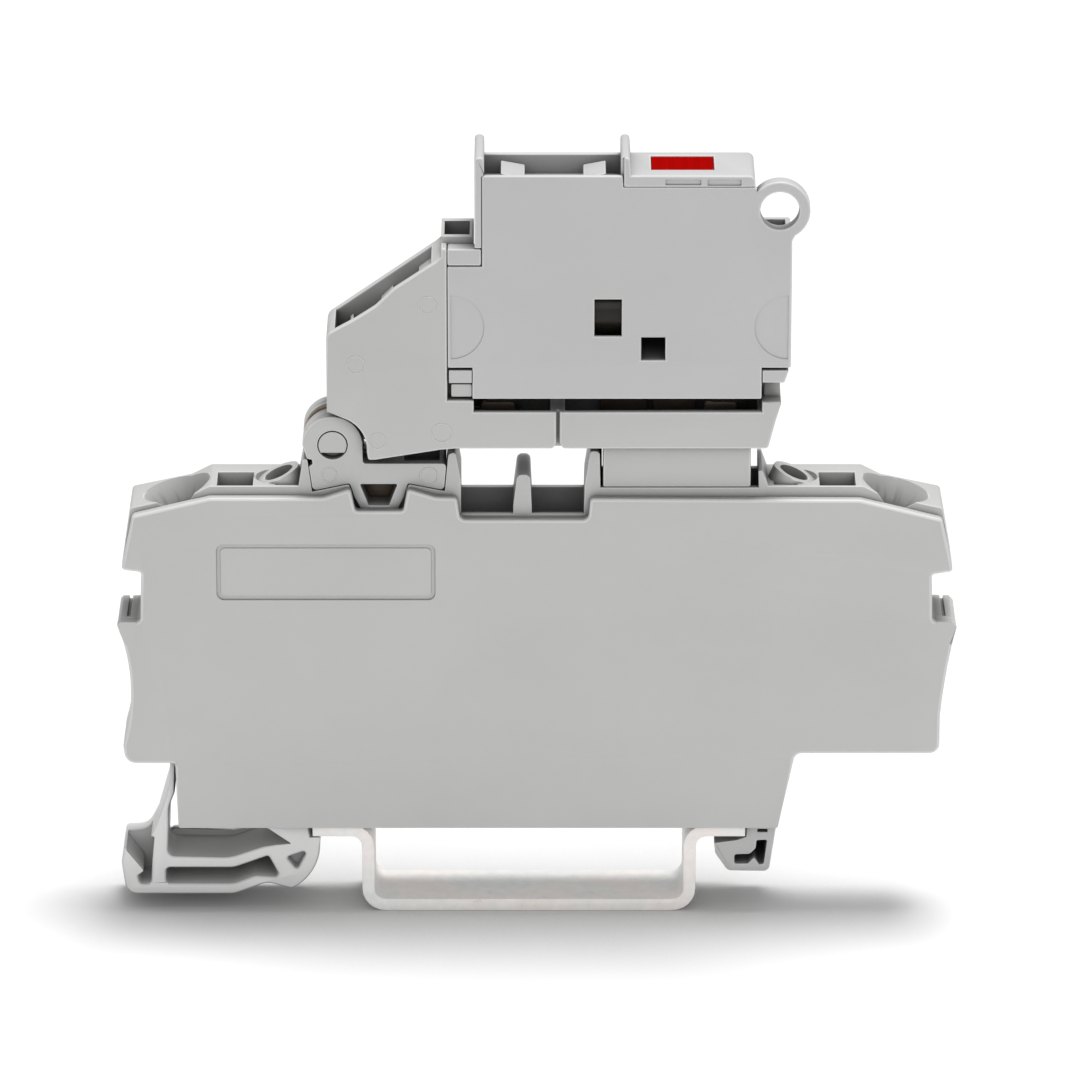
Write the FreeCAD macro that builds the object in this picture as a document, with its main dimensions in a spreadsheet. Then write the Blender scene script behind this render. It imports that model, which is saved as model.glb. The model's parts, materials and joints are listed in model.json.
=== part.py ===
"""Rail-mounted fuse terminal block with a swing-up carrier and a pull-out plug for a 5 x 20 mm
cartridge fuse.

The block clips on a 35 mm top-hat rail. X runs across the rail, from the clamp on the hinge side to
the clamp on the knife side. Y runs along the rail, from the end plate to the closed back of the
housing. Z is up, and Z = 0 is the upper edge of the rail. The origin is on the rail's centre line, in
the middle of the block's width. All sizes are millimetres.

Every plastic part is a moulded slab with pockets, and every metal part is a bent strip or a stamped
plate, so most sub-parts are bodies made of pads and pockets drawn in the XZ plane.
"""

import FreeCAD, Part
import Sketcher
import math
import os

Vector = FreeCAD.Vector

# ---------------------------------------------------------------- driving dimensions
# Each entry is a cell of the spreadsheet: alias, value, what it is.
CELLS = [
    ("front_face", -3.1, "outer face of the end plate and of the fuse plug"),
    ("back_face", 3.1, "closed back of the housing"),
    ("plate_back", -2.1, "seam between end plate and housing"),
    ("back_wall", 0.6, "thickness of the closed back wall"),
    ("blade_mid", 0.5, "middle plane of blades and forks"),
    ("blade_thick", 0.8, "thickness of the contact blades"),
    ("leaf_thick", 0.34, "thickness of a fork leaf"),
    ("leaf_gap", 0.06, "free gap between a blade and each fork leaf"),
    ("pivot_x", -15.6, "hinge axis, across the rail"),
    ("pivot_z", 32.5, "hinge axis, above the rail"),
    ("pin_radius", 1.14, "hinge pin"),
    ("pin_nose", 1.12, "front end of the hinge pin"),
    ("pin_clearance", 0.06, "running clearance of the pin in the ears"),
    ("ear_radius", 2.4, "rounded ears of the bracket and hub of the carrier"),
    ("ear_thick", 1.0, "thickness of each ear"),
    ("arc_radius", 2.75, "hollow of the carrier round the ears"),
    ("play", 0.1, "gap between parts that move past each other"),
    ("bar_level", 12.5, "middle of the busbars"),
    ("bar_thick", 0.8, "thickness of the busbars"),
    ("strip_front", -1.5, "front edge of the metal strips"),
    ("strip_back", 2.3, "back edge of the metal strips"),
    ("spring_thick", 0.5, "thickness of the clamp springs"),
    ("entry_radius", 1.65, "round conductor entry"),
    ("funnel_radius", 2.72, "mouth of the conductor funnel"),
    ("funnel_depth", 2.1, "depth of the conductor funnel"),
    ("entry_tilt", 14.5, "lean of the conductor entry from the vertical, in degrees"),
    ("entry_y", 0.15, "middle of the entries along the rail"),
    ("test_radius", 1.2, "round test hole"),
    ("collar_radius", 1.75, "collar round the test hole"),
    ("test_tilt", 24.0, "lean of the test hole from the vertical, in degrees"),
    ("carrier_seam", 2.4, "seam between the carrier frame and its rear cover"),
    ("carrier_skin", 0.6, "front wall of the carrier"),
    ("plug_seam", -2.65, "seam between the plug's cover and its body"),
    ("plug_skin", 0.45, "back wall of the plug"),
    ("ring_back", -1.75, "rear of the pull ring"),
    ("wing_back", -1.6, "rear of the plug's left wing and catches"),
    ("fuse_x", 7.0, "middle of the fuse, across the rail"),
    ("fuse_z", 43.5, "axis of the fuse, above the rail"),
    ("fuse_length", 20.0, "length of the cartridge fuse"),
    ("cap_radius", 2.6, "end cap of the cartridge fuse"),
    ("cap_length", 5.0, "length of an end cap"),
    ("tube_radius", 2.35, "outer radius of the glass tube"),
    ("tube_bore", 1.7, "inner radius of the glass tube"),
    ("ring_x", 19.75, "middle of the pull ring, across the rail"),
    ("ring_z", 52.4, "middle of the pull ring, above the rail"),
    ("ring_outer", 2.4, "outer radius of the pull ring"),
    ("ring_hole", 1.55, "hole of the pull ring"),
]
SIZE = {alias: value for alias, value, note in CELLS}
CENTRE_X = 0.6  # the two clamping ends mirror each other about this plane
BLADE_FRONT, BLADE_BACK = "blade_mid - blade_thick / 2", "blade_mid + blade_thick / 2"
HUB_FRONT, HUB_BACK = "plate_back + ear_thick + play", "back_face - ear_thick - play"
PIVOT = (SIZE["pivot_x"], SIZE["pivot_z"])

doc = FreeCAD.newDocument("FuseBlock")
sheet = doc.addObject("Spreadsheet::Sheet", "Sizes")
for row, (alias, value, note) in enumerate(CELLS, start=1):
    sheet.set("A%d" % row, note)
    sheet.set("B%d" % row, str(value))
    sheet.setAlias("B%d" % row, alias)
doc.recompute()


def bound(expression):
    """The expression with every alias pointed at the spreadsheet, such as Sizes.play."""
    words = str(expression).replace("(", " ( ").replace(")", " ) ").split()
    return " ".join("Sizes." + w if w in SIZE else w for w in words)


# ---------------------------------------------------------------- outlines
def edges_of(points):
    """A closed chain of lines and arcs through points in the XZ plane.

    (x, z) is a sharp corner, (x, z, r) a corner rounded to r, and (xm, zm, x, z) ends an arc that
    starts at the point before it and passes through (xm, zm).
    """
    spots = [Vector(p[2], p[3], 0) if len(p) == 4 else Vector(p[0], p[1], 0) for p in points]
    enter, leave, rounds = list(spots), list(spots), {}
    for i, point in enumerate(points):
        if len(point) != 3:
            continue
        radius = point[2]
        to_before = (spots[i - 1] - spots[i]).normalize()
        to_after = (spots[(i + 1) % len(spots)] - spots[i]).normalize()
        half = to_before.getAngle(to_after) / 2
        inward = (to_before + to_after).normalize()
        enter[i] = spots[i] + to_before * (radius / math.tan(half))
        leave[i] = spots[i] + to_after * (radius / math.tan(half))
        middle = spots[i] + inward * (radius / math.sin(half) - radius)
        rounds[i] = Part.Arc(enter[i], middle, leave[i])
    edges = []
    for i, point in enumerate(points):
        start = leave[i - 1]
        if len(point) == 4:
            edges.append(Part.Arc(start, Vector(point[0], point[1], 0), enter[i]))
        elif start.distanceToPoint(enter[i]) > 1e-6:
            edges.append(Part.LineSegment(start, enter[i]))
        if i in rounds:
            edges.append(rounds[i])
    return edges


def strip(path, thick):
    """The outline of a bent strip of metal, from its middle line: (x, z) points, with a bend radius
    as a third number at each bend."""
    spots = [Vector(p[0], p[1], 0) for p in path]
    runs = [(b - a).normalize() for a, b in zip(spots, spots[1:])]
    sides = [Vector(-run.y, run.x, 0) for run in runs]
    left, right = [], []
    for i, point in enumerate(path):
        first, last = sides[max(i - 1, 0)], sides[min(i, len(sides) - 1)]
        mitre = (first + last).normalize()
        reach = thick / 2 / mitre.dot(first)
        bend = point[2] if len(point) == 3 else 0
        turn = runs[max(i - 1, 0)].cross(runs[min(i, len(runs) - 1)]).z
        for chain, sign in ((left, 1), (right, -1)):
            spot = spots[i] + mitre * (reach * sign)
            radius = bend - sign * math.copysign(thick / 2, turn)
            chain.append((spot.x, spot.y, radius) if bend else (spot.x, spot.y))
    return left + right[::-1]


def box(x_low, z_low, x_high, z_high, radius=0):
    """A rectangle in the XZ plane, its corners rounded if a radius is given."""
    corners = [(x_low, z_low), (x_high, z_low), (x_high, z_high), (x_low, z_high)]
    return [(*corner, radius) if radius else corner for corner in corners]


def mirrored(points):
    """The same outline at the other clamping end."""
    flip = 2 * CENTRE_X
    return [
        (flip - p[0], p[1], flip - p[2], p[3]) if len(p) == 4 else (flip - p[0], *p[1:]) for p in points
    ]


# ---------------------------------------------------------------- features
def new_body(label):
    body = doc.addObject("PartDesign::Body", label)
    body.Label = label
    return body


def new_sketch(body, role, offset):
    """An empty sketch on one of the body's own planes, moved along the plane's normal."""
    plane = next(f for f in body.Origin.OriginFeatures if f.Role == role)
    sketch = body.newObject("Sketcher::SketchObject", body.Name + "_sketch")
    sketch.AttachmentSupport = [(plane, "")]
    sketch.MapMode = "FlatFace"
    sketch.setExpression(".AttachmentOffset.Base.z", bound(offset))
    return sketch


def draw(sketch, outlines):
    for points in outlines:
        sketch.addGeometry(edges_of(points), False)


def draw_circle(sketch, x, y, radius):
    """A circle whose radius is bound to the sheet and whose centre is fixed by two dimensions."""
    index = sketch.addGeometry(Part.Circle(Vector(x, y, 0), Vector(0, 0, 1), 1.0), False)
    for kind, value in (("DistanceX", x), ("DistanceY", y)):
        sketch.addConstraint(Sketcher.Constraint(kind, -1, 1, index, 3, value))
    size = sketch.addConstraint(Sketcher.Constraint("Radius", index, 1.0))
    sketch.setExpression("Constraints[%d]" % size, bound(radius))


def slab(body, outlines, front, back):
    """Material between two Y positions. The XZ plane's normal points to -Y, so the sketch lies at
    the back and the pad comes forward."""
    sketch = new_sketch(body, "XZ_Plane", "0 - ( %s )" % back)
    draw(sketch, outlines)
    pad = body.newObject("PartDesign::Pad", body.Name + "_pad")
    pad.Profile = sketch
    pad.setExpression("Length", bound("( %s ) - ( %s )" % (back, front)))
    body.Tip = pad
    return pad


def round_slab(body, x, z, radius, front, back):
    """A disc or stub shaft between two Y positions."""
    sketch = new_sketch(body, "XZ_Plane", "0 - ( %s )" % back)
    draw_circle(sketch, x, z, radius)
    pad = body.newObject("PartDesign::Pad", body.Name + "_disc")
    pad.Profile = sketch
    pad.setExpression("Length", bound("( %s ) - ( %s )" % (back, front)))
    body.Tip = pad
    return pad


def pocket(body, outlines, front, back):
    """A hollow between two Y positions, cut backwards from a sketch at its front."""
    sketch = new_sketch(body, "XZ_Plane", "0 - ( %s )" % front)
    draw(sketch, outlines)
    return finish_pocket(body, sketch, "( %s ) - ( %s )" % (back, front))


def round_pocket(body, x, z, radius, front, back):
    sketch = new_sketch(body, "XZ_Plane", "0 - ( %s )" % front)
    draw_circle(sketch, x, z, radius)
    return finish_pocket(body, sketch, "( %s ) - ( %s )" % (back, front))


def sunk_pocket(body, x_low, y_low, x_high, y_high, top, bottom):
    """A rectangular shaft cut straight down from one height to another."""
    sketch = new_sketch(body, "XY_Plane", top)
    draw(sketch, [box(x_low, y_low, x_high, y_high)])
    return finish_pocket(body, sketch, "( %s ) - ( %s )" % (top, bottom))


def finish_pocket(body, sketch, depth):
    cut = body.newObject("PartDesign::Pocket", body.Name + "_pocket")
    cut.Profile = sketch
    cut.setExpression("Length", bound(depth))
    body.Tip = cut
    return cut


def leaning(body, kind, mouth, lean, depth_from, depth_to, radius_low, radius_high):
    """A cylinder or cone on an axis that leans from the vertical in the XZ plane, between two depths
    below its mouth. A positive lean tips the top towards +X."""
    solid = body.newObject("PartDesign::" + kind, body.Name + "_" + kind.lower())
    turn = FreeCAD.Rotation(Vector(0, 1, 0), lean)
    start = Vector(*mouth) - turn.multVec(Vector(0, 0, depth_to))
    solid.Placement = FreeCAD.Placement(start, turn)
    solid.Height = depth_to - depth_from
    if kind.endswith("Cone"):
        solid.setExpression("Radius1", bound(radius_low))
        solid.setExpression("Radius2", bound(radius_high))
    else:
        solid.setExpression("Radius", bound(radius_low))
    body.Tip = solid
    return solid


def turned(label, radius, x_low, length):
    """A cylinder along X on the fuse's axis, as a parametric primitive."""
    rod = doc.addObject("Part::Cylinder", label)
    rod.Label = label
    rod.setExpression("Radius", bound(radius))
    rod.setExpression("Height", bound(length))
    rod.Placement = FreeCAD.Placement(
        Vector(x_low, 0, SIZE["fuse_z"]), FreeCAD.Rotation(Vector(0, 1, 0), 90)
    )
    return rod


def block(label, x_low, y_low, z_low, x_high, y_high, z_high):
    cuboid = doc.addObject("Part::Box", label)
    cuboid.Label = label
    cuboid.Length, cuboid.Width, cuboid.Height = x_high - x_low, y_high - y_low, z_high - z_low
    cuboid.Placement.Base = Vector(x_low, y_low, z_low)
    return cuboid


# ---------------------------------------------------------------- terminal base
STEP_LEFT, STEP_RIGHT = 5.6, 6.45  # undersides of the two wings
TOP = 29.05  # flat top of the housing
SEAT = 26.9  # floor of the notch that takes the bracket's feet
WALL_TOP = 32.0  # walls each side of the jumper slots
LIP = 27.3  # rear edge of the jumper slots
KNIFE_SILL = 28.92  # edge of the shaft that takes the knife's sleeve

LEFT_HOLLOW = (-31.95, 11.4, -32.95, 17.55)  # concave grip, from its lowest point
RIGHT_HOLLOW = (33.35, 12.4, 33.05, 9.7)

# The lower half is the same for housing and end plate. It runs from the left notch, down and round
# to the right notch.
LOWER_LEFT = [
    (-28.3, 0.0, 0.2),
    (-28.5, STEP_LEFT, 0.3),
    (-32.45, STEP_LEFT, 0.9),
    (-32.65, 7.1),
    LEFT_HOLLOW,
]
LOWER_RIGHT = [
    (34.25, 17.4),
    RIGHT_HOLLOW,
    (33.05, STEP_RIGHT, 0.8),
    (21.45, STEP_RIGHT, 0.7),
    (20.1, 0.0, 0.2),
]


def end_plate():
    """Flat cover of the open side, with a framed field for a marking."""
    body = new_body("end_plate")
    upper = [
        (-32.7, 17.8, 0.1),
        (-31.1, 17.8, 0.35),
        (-30.95, 22.05, 0.3),
        (-32.55, 22.25, 0.3),
        (-31.6, 26.85, 0.4),
        (-25.4, 28.35, 1.5),
        (-16.4, 28.35, 1.0),
        (-14.2, 29.1, 0.25),
        (-13.8, 27.25, 0.3),
        (-10.0, 27.25, 0.3),
        (-9.65, 29.1, 0.25),
        (-7.4, 28.4, 1.0),
        (-5.7, 28.35, 0.3),
        (-5.45, 26.5, 0.5),
        (4.75, 26.5, 0.5),
        (4.9, 28.3, 0.3),
        (26.4, 28.2, 1.5),
        (32.95, 26.55, 0.4),
        (33.9, 22.1, 0.3),
        (32.2, 21.85, 0.3),
        (32.3, 17.85, 0.35),
        (33.9, 17.8, 0.1),
    ]
    slab(body, [LOWER_LEFT + upper + LOWER_RIGHT], "front_face", "plate_back")
    frame = "front_face + 0.15"
    field = box(-24.6, 20.05, -7.8, 24.1, 0.35)
    pocket(body, [box(-24.95, 19.7, -7.45, 24.45, 0.6), field], "front_face", frame)
    pocket(body, [field], "front_face", "front_face + 0.08")
    return body


CLAMP_CHAMBER = [
    (-31.1, 8.0, 0.6),
    (-31.1, 15.6),
    (-30.1, 17.3),
    (-30.1, 20.4, 0.6),
    (-24.6, 20.4),
    (-24.6, 25.2, 0.3),
    (-18.9, 25.2, 0.3),
    (-18.9, 8.0, 0.3),
]


def terminal_housing():
    """Moulded housing, closed at the back and open at the front, with the fixed rail hook."""
    body = new_body("terminal_housing")
    top = [
        (-32.7, 17.8, 0.1),
        (-31.1, 17.8, 0.35),
        (-30.95, 22.05, 0.3),
        (-32.55, 22.25, 0.3),
        (-31.8, 27.2, 0.35),
        (-27.0, 28.25, 0.6),
        (-25.45, TOP, 0.5),
        (-18.35, TOP),
        (-17.95, 31.3, 0.12),
        (-17.62, 31.3, 0.12),
        (-17.25, 28.55),
        (-14.3, 29.2, 0.2),
        (-13.95, SEAT, 0.2),
        (-9.85, SEAT, 0.2),
        (-9.6, 29.2, 0.2),
        (-6.7, 28.6),
        (-6.4, 31.7, 0.3),
        (-5.85, WALL_TOP, 0.25),
        (-5.4, 29.6),
        (-5.4, LIP),
        (-1.25, LIP),
        (-0.92, 30.0, 0.45),
        (0.12, 30.0, 0.45),
        (0.25, LIP),
        (4.4, LIP),
        (4.45, 29.1),
        (4.9, WALL_TOP, 0.2),
        (5.65, WALL_TOP, 0.35),
        (5.72, KNIFE_SILL),
        (18.3, KNIFE_SILL),
        (18.3, 30.35, 0.08),
        (18.62, 30.35, 0.08),
        (19.1, TOP),
        (26.65, TOP, 0.5),
        (28.2, 28.25, 0.6),
        (33.0, 27.2, 0.35),
        (33.9, 22.1, 0.3),
        (32.2, 21.85, 0.3),
        (32.3, 17.85, 0.35),
        (33.9, 17.8, 0.1),
    ]
    slab(body, [LOWER_LEFT + top + LOWER_RIGHT], "plate_back", "back_face")
    hook = [
        (20.1, 0.3),
        (17.6, 0.3),
        (17.6, -1.2),
        (16.8, -1.5),
        (15.0, -1.75, 0.15),
        (15.1, -2.65, 0.5),
        (16.1, -4.15, 0.6),
        (19.45, -4.2, 0.5),
        (20.05, 0.0),
    ]
    slab(body, [hook], "plate_back", "back_face")
    slab(body, [box(5.6, KNIFE_SILL - 0.4, 5.86, WALL_TOP - 0.35)], "back_face - back_wall", "back_face")
    cut_chambers(body)
    cut_entries(body)
    round_pocket(body, *PIVOT, "ear_radius + play", HUB_FRONT + " - play", HUB_BACK + " + play")
    return body


def cut_chambers(body):
    """Hollows open to the front: clamp chambers, contact chambers, busbar notches and the foot."""
    inner = "back_face - back_wall"
    level, half = SIZE["bar_level"], SIZE["bar_thick"] / 2 + 0.05
    hinge_chamber = box(-18.1, 8.0, -6.3, 25.9, 0.3)
    slot_chambers = [box(-5.4, 8.0, -1.1, 20.5), box(0.1, 8.0, 4.4, 20.5)]
    knife_chamber = box(5.6, 8.0, 18.3, 20.5)
    lower = [
        box(-27.4, 0.9, -12.4, 7.2, 0.3),
        box(-11.6, 0.9, 3.9, 7.2, 0.3),
        [(4.7, 0.9, 0.3), (19.2, 0.9, 0.3), (20.6, 7.2, 0.3), (4.7, 7.2, 0.3)],
    ]
    for outlines in (
        [CLAMP_CHAMBER],
        [mirrored(CLAMP_CHAMBER)],
        [hinge_chamber],
        slot_chambers,
        [knife_chamber],
        lower,
    ):
        pocket(body, outlines, "plate_back", inner)
    pocket(
        body,
        [box(-19.5, level - half, -5.0, level + half), box(4.0, level - half, 20.7, level + half)],
        "plate_back",
        inner,
    )
    hook_hollow = [
        (18.43, -1.5, 0.15),
        (19.3, -1.46, 0.15),
        (19.02, -3.6, 0.2),
        (18.65, -3.6, 0.1),
        (18.25, -3.0, 0.1),
        (17.75, -3.55, 0.15),
        (16.65, -3.55, 0.15),
        (16.65, -2.75, 0.2),
        (17.9, -2.7, 0.4),
        (18.38, -2.2, 0.3),
    ]
    pocket(body, [hook_hollow], "plate_back", inner)
    pocket(body, [box(18.5, -0.78, 19.3, -0.52)], "plate_back", "plate_back + 1")
    for low, high in ((-32.2, -31.95), (33.15, 33.4)):
        pocket(body, [box(low, 17.55, high, 18.5)], "plate_back + 0.5", "back_face")


def cut_entries(body):
    """Everything that opens upwards: jumper slots, knife shaft, conductor funnels, operating slots
    and test holes."""
    slot_front, slot_back = -1.6, 2.55
    for low, high in ((-5.4, -1.25), (0.25, 4.4)):
        sunk_pocket(body, low, slot_front, high, slot_back, "30", "20")
        pocket(body, [box(low, 26.7, high, 28.0)], "plate_back", "plate_back + 0.5")
    sunk_pocket(body, 5.72, -1.5, 18.3, 2.5, "30", "20")
    sunk_pocket(body, -13.4, 0.05, -10.4, 0.95, str(SEAT + 0.1), "25.5")
    for side in (-1, 1):
        across = lambda distance: distance * side + (CENTRE_X * 2 if side > 0 else 0)
        mouth = (across(28.13), SIZE["entry_y"], 28.0)
        lean, test_lean = side * SIZE["entry_tilt"], side * SIZE["test_tilt"]
        funnel = SIZE["funnel_depth"]
        leaning(body, "SubtractiveCone", mouth, lean, -0.5, funnel, "entry_radius", "funnel_radius + 0.2")
        leaning(body, "SubtractiveCylinder", mouth, lean, -0.5, 8.6, "entry_radius", "")
        for near, far, front, rear, top, bottom in (
            (22.0, 24.86, -1.9, 1.25, "30", "24.5"),
            (18.35, 20.2, -1.75, 1.2, "30", str(TOP - 0.7)),
        ):
            low, high = sorted((across(near), across(far)))
            sunk_pocket(body, low, front, high, rear, top, bottom)
        collar = (across(20.0), SIZE["entry_y"], TOP + 0.35)
        leaning(body, "AdditiveCylinder", collar, test_lean, 0.0, 3.0, "collar_radius", "")
        leaning(body, "SubtractiveCylinder", collar, test_lean, -1.5, 0.0, "collar_radius + 0.1", "")
        leaning(body, "SubtractiveCylinder", collar, test_lean, -0.5, 3.3, "test_radius", "")
        low, high = sorted((across(18.95), across(19.6)))
        sunk_pocket(body, low, -0.3, high, 0.9, "27", "25")


def rail_foot():
    """Springy foot that grips the other edge of the rail, on its curved arm."""
    body = new_body("rail_foot")
    outer = [
        (-28.95, 5.5, 0.1),
        (-28.6, 5.5, 0.1),
        (-28.6, 2.7, 1.0),
        (-29.1, 1.44, 2.0),
        (-29.28, -2.9, 0.6),
        (-24.2, -3.0, 3.0),
        (-21.4, -2.0, 3.0),
        (-19.2, -1.8, 0.05),
        (-21.5, -0.15, 0.1),
        (-17.85, -0.15, 0.2),
        (-17.7, -1.15),
        (-16.85, -1.25, 0.15),
        (-17.1, -3.2, -18.7, -5.45),
        (-19.25, -5.75, 0.25),
        (-21.2, -5.2, 1.5),
        (-23.9, -6.22, 2.0),
        (-32.65, -6.22, 1.0),
        (-33.02, -3.4, 2.0),
        (-32.8, -2.1, 0.3),
        (-31.0, -2.0, 1.2),
        (-30.15, -0.4),
        (-29.55, 1.75, 4.0),
        (-29.0, 3.6, 3.0),
    ]
    driver_slot = [
        (-32.6, -1.4),
        (-32.6, -2.4),
        (-31.25, -4.15, 0.1),
        (-31.7, -4.65, 0.2),
        (-31.55, -5.35, 0.4),
        (-30.65, -5.35, 0.4),
        (-30.55, -3.6),
        (-30.3, -1.2),
    ]
    long_slot = [
        (-29.43, -3.9, 0.35),
        (-29.43, -5.3, 0.35),
        (-23.9, -5.3, 2.0),
        (-22.2, -4.6, 1.0),
        (-20.15, -4.75, 0.3),
        (-21.1, -2.85, 0.25),
        (-23.9, -3.9, 2.0),
    ]
    keyhole = [(-19.65, -3.0, 0.2), (-17.9, -2.35, 0.2), (-18.8, -4.1, 0.2)]
    rear_rib = [(-29.28, -2.2, 0.5), (-29.28, -3.3), (-21.4, -3.0), (-21.4, -2.0), (-24.2, -2.5)]
    slab(body, [outer], "plate_back", "back_face")
    slab(body, [rear_rib], "back_face - back_wall", "back_face")
    pocket(body, [long_slot], "plate_back", "back_face - back_wall")
    pocket(body, [driver_slot], "plate_back", "1.5")
    pocket(body, [keyhole], "plate_back", "plate_back + 1.2")
    return body


BUSBAR_END = [(-28.45, 19.6), (-27.0, 12.5, 1.2)]  # the leg that the conductor is pressed on
CLAMP_SPRING = [(-25.3, 15.4), (-23.0, 22.4, 1.4), (-21.0, 25.0, 1.1), (-19.45, 22.0, 1.6), (-19.45, 13.25)]


def busbar(label, clamp_end, socket_x):
    """Copper bar from a clamp to the jumper slot at socket_x, where its end turns up."""
    body = new_body(label)
    path = clamp_end + [(socket_x, SIZE["bar_level"], 1.0), (socket_x, 19.6)]
    slab(body, [strip(path, SIZE["bar_thick"])], "strip_front", "strip_back")
    return body


def clamp_spring(label, path):
    body = new_body(label)
    slab(body, [strip(path, SIZE["spring_thick"])], "strip_front", "strip_back")
    return body


def fork_contact(label, x_low, x_high, top):
    """Two upright leaves on a foot that sits on the busbar; a blade slides in between them."""
    body = new_body(label)
    foot = SIZE["bar_level"] + SIZE["bar_thick"] / 2
    near = "blade_mid - blade_thick / 2 - leaf_gap"
    far = "blade_mid + blade_thick / 2 + leaf_gap"
    slab(body, [box(x_low, foot, x_high, foot + 0.5)], near + " - leaf_thick", far + " + leaf_thick")
    shape = [(x_low, foot), (x_high, foot), (x_high - 0.3, top, 0.5), (x_low + 0.3, top, 0.5)]
    slab(body, [shape], near + " - leaf_thick", near)
    slab(body, [shape], far, far + " + leaf_thick")
    return body


# ---------------------------------------------------------------- hinge

def hinge_bracket():
    """Plug-in bearing block: two ears that hold the pin, and feet that snap in the housing."""
    body = new_body("hinge_bracket")
    x, z = PIVOT
    radius = SIZE["ear_radius"]
    outline = [
        (x - radius, z),
        (x, z + radius, x + radius, z),
        (x + radius, 30.95, 0.25),
        (-6.54, 30.95, 0.35),
        (-6.74, 28.67, 0.35),
        (-9.64, 29.27, 0.2),
        (-9.9, 28.2),
        (-10.5, 26.95, 0.1),
        (-13.3, 26.95, 0.1),
        (-13.95, 28.2),
        (-14.26, 29.27, 0.2),
        (-17.21, 28.63, 0.35),
        (-17.5, 30.7),
        (-17.2, 30.9, 0.1),
        (-17.25, 31.25, 0.1),
        (-17.65, 31.35),
    ]
    slab(body, [outline], "plate_back", "back_face")
    hub_room = [
        (x - 2.8, z - 0.4),
        (x - 2.1, z - 2.1, x, z - 2.75),
        (x + 2.75, z - 1.3),
        (x + 3.2, z + 3.0),
        (x - 3.2, z + 3.0),
    ]
    pocket(body, [hub_room], "plate_back + ear_thick", "back_face - ear_thick")
    vee = [(-13.45, 29.2, 0.1), (-12.75, 27.4, 0.1), (-11.15, 27.4, 0.1), (-10.45, 29.2, 0.1)]
    pocket(body, [vee], "plate_back", "back_face - back_wall")
    sunk_pocket(body, -9.95, -1.3, -7.1, 2.5, "31.2", "29.9")
    blade_room = [
        (-16.0, 29.4),
        (-13.35, 29.4),
        (-13.35, 26.0),
        (-10.45, 26.0),
        (-10.45, 30.4),
        (-12.6, 31.2),
        (-16.0, 31.2),
    ]
    pocket(body, [blade_room], BLADE_FRONT + " - 0.05", BLADE_BACK + " + 0.05")
    round_pocket(body, x, z, "pin_radius + pin_clearance", "plate_back", "back_face")
    return body


def hinge_blade():
    """Stamped contact: an eye round the pin and a blade that reaches down into the hinge fork."""
    body = new_body("hinge_blade")
    x, z = PIVOT
    round_slab(body, x, z, "ear_radius - 0.2", BLADE_FRONT, BLADE_BACK)
    neck = [
        (x - 0.2, z - 2.0),
        (-13.3, 29.45),
        (-13.3, 20.6),
        (-12.6, 19.8),
        (-11.2, 19.8),
        (-10.5, 20.6),
        (-10.5, 30.3),
        (-12.6, 31.15),
        (x + 1.5, z - 0.9),
    ]
    slab(body, [neck], BLADE_FRONT, BLADE_BACK)
    round_pocket(body, x, z, "pin_radius + pin_clearance", BLADE_FRONT, BLADE_BACK)
    return body


def hinge_pin():
    """Pin of the carrier, flattened at its front end so that it drops into the ear one way round."""
    body = new_body("hinge_pin")
    x, z = PIVOT
    shoulder = "plate_back + ear_thick - 0.2"
    round_slab(body, x, z, "pin_radius", shoulder, "back_face")
    round_slab(body, x, z, "pin_nose", "plate_back", shoulder)
    flat = z - 0.62
    pocket(body, [box(x - 1.5, z - 1.5, x + 1.5, flat)], "plate_back", shoulder)
    return body


# ---------------------------------------------------------------- swinging carrier
CARRIER_LEFT = -16.0
CARRIER_WALL = -4.35  # face that the plug slides along
BAND_TOP, BAND_FLOOR, BAND_LOW = 35.65, 33.15, 32.55
FRONT_RIM = [
    (-15.75, 42.3, 0.4),
    (-13.7, 43.45, 1.0),
    (-12.1, 44.5, 1.5),
    (-10.65, 45.95, 2.0),
    (-7.35, 48.2, 0.3),
]


def carrier_underside():
    """The carrier's lower edge, from the band's right end to the hollow round the ears."""
    x, z = PIVOT
    radius = SIZE["arc_radius"]
    start, middle, end = (math.radians(a) for a in (-4, 30, 62))
    on_arc = lambda a: (x + radius * math.cos(a), z + radius * math.sin(a))
    return [
        (-5.8, BAND_LOW),
        (-7.0, BAND_LOW - 0.1),
        (-12.2, 31.6, 0.2),
        (-12.75, 31.6, 0.2),
        on_arc(start),
        (*on_arc(middle), *on_arc(end)),
        (CARRIER_LEFT, 35.7, 0.1),
    ]


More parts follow.
